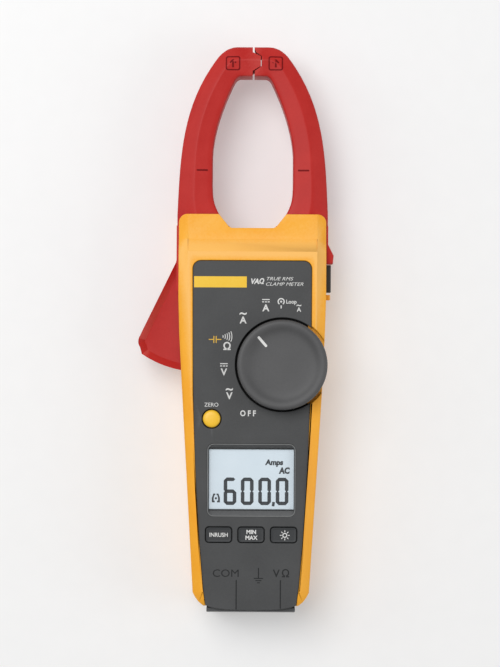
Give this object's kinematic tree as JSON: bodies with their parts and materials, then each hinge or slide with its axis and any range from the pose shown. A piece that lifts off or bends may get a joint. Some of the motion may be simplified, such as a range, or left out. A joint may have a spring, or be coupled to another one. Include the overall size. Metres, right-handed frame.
{
  "type": "clamp meter",
  "caption": "Handheld clamp meter with a trigger-opened jaw, rotary function switch, display window, keys and two shrouded input jacks.",
  "frame": {"origin": "middle of the flat back of the body, on its centre line, half way along the whole length", "axes": "+Y along the body to the jaw tips, +Z out of the face with the knob and display, +X to the knob side"},
  "size_m": [0.085, 0.246, 0.043],
  "materials": {
    "yellow_shell": "moulded yellow casing plastic, fine texture",
    "dark_panel": "moulded dark grey plastic, fine texture",
    "red_jaw": "moulded red insulating plastic, fine texture",
    "knob_grey": "soft matt grey plastic",
    "pointer_white": "white two-shot inlay",
    "button_dark": "dark silicone key",
    "zero_yellow": "yellow key",
    "plate_yellow": "plain yellow bar",
    "lens_clear": "clear hard-coated window",
    "lcd": "liquid crystal cell",
    "light_guide": "white light guide",
    "silicone": "grey silicone",
    "black_rubber": "black rubber",
    "steel": "plated steel",
    "brass": "gold-plated brass",
    "ferrite": "laminated core iron",
    "copper": "enamelled copper winding",
    "chip_black": "moulded component body",
    "board_green": "solder-masked laminate",
    "rotor_nylon": "natural nylon",
    "socket_black": "black insulator",
    "cell_wrap": "printed sleeve",
    "label": "blank grey label"
  },
  "bodies": {
    "case": {"front_shell": "yellow_shell", "rear_shell": "yellow_shell", "front_panel": "dark_panel", "name_plate": "plate_yellow", "jack_end_cap": "dark_panel", "input_jacks": "brass", "probe_socket": "socket_black", "pivot_pin": "steel", "jaw_spring": "steel", "fixed_jaw_front": "red_jaw", "fixed_jaw_rear": "red_jaw", "fixed_core": "ferrite", "hall_sensors": "chip_black", "sense_coil": "copper", "fixed_jaw_screws": "steel", "case_screws": "steel", "knob_seal": "black_rubber", "detent_ball": "steel", "detent_spring": "steel", "zero_pad": "silicone", "keypad_membrane": "silicone", "hold_switch": "steel", "dome_switches": "steel", "lens_window": "lens_clear", "lcd_glass": "lcd", "backlight_guide": "light_guide", "zebra_strips": "black_rubber", "main_board": "board_green", "board_components": "chip_black", "board_screws": "steel", "buzzer": "chip_black", "battery_cells": "cell_wrap", "battery_springs": "steel", "battery_plates": "steel", "battery_door": "dark_panel", "door_screw": "steel", "door_seal": "black_rubber", "rear_label": "label"},
    "moving_jaw": {"moving_jaw_front": "red_jaw", "moving_jaw_rear": "red_jaw", "moving_core": "ferrite", "pivot_bushes": "brass"},
    "knob": {"rotary_knob": "knob_grey", "knob_pointer": "pointer_white", "switch_rotor": "rotor_nylon", "wiper_contacts": "brass"},
    "zero_key": {"zero_button": "zero_yellow"},
    "inrush_key": {"inrush_button": "button_dark"},
    "minmax_key": {"minmax_button": "button_dark"},
    "backlight_key": {"backlight_button": "button_dark"},
    "hold_key": {"hold_button": "button_dark"}
  },
  "joints": [
    {"name": "jaw_open", "type": "hinge", "parent": "case", "child": "moving_jaw", "pos_m": [-0.0229, 0.0264, 0.0173], "axis": [0, 0, 1], "range_deg": [0, 21.5], "stiffness_Nm_per_rad": 0.6, "springref_deg": -34.38, "deforming": ["jaw_spring"]},
    {"name": "knob_turn", "type": "hinge", "parent": "case", "child": "knob", "pos_m": [0.0131, -0.0152, 0.035], "axis": [0, 0, 1], "range_deg": [-50, 100]},
    {"name": "zero_press", "type": "slide", "parent": "case", "child": "zero_key", "axis": [0, 0, -1], "range_m": [0, 0.0008], "stiffness_N_per_m": 300, "springref_m": -0.002},
    {"name": "inrush_press", "type": "slide", "parent": "case", "child": "inrush_key", "axis": [0, 0, -1], "range_m": [0, 0.0008], "stiffness_N_per_m": 300, "springref_m": -0.002},
    {"name": "minmax_press", "type": "slide", "parent": "case", "child": "minmax_key", "axis": [0, 0, -1], "range_m": [0, 0.0008], "stiffness_N_per_m": 300, "springref_m": -0.002},
    {"name": "backlight_press", "type": "slide", "parent": "case", "child": "backlight_key", "axis": [0, 0, -1], "range_m": [0, 0.0008], "stiffness_N_per_m": 300, "springref_m": -0.002},
    {"name": "hold_press", "type": "slide", "parent": "case", "child": "hold_key", "axis": [-1, 0, 0], "range_m": [0, 0.0008], "stiffness_N_per_m": 300, "springref_m": -0.002}
  ]
}
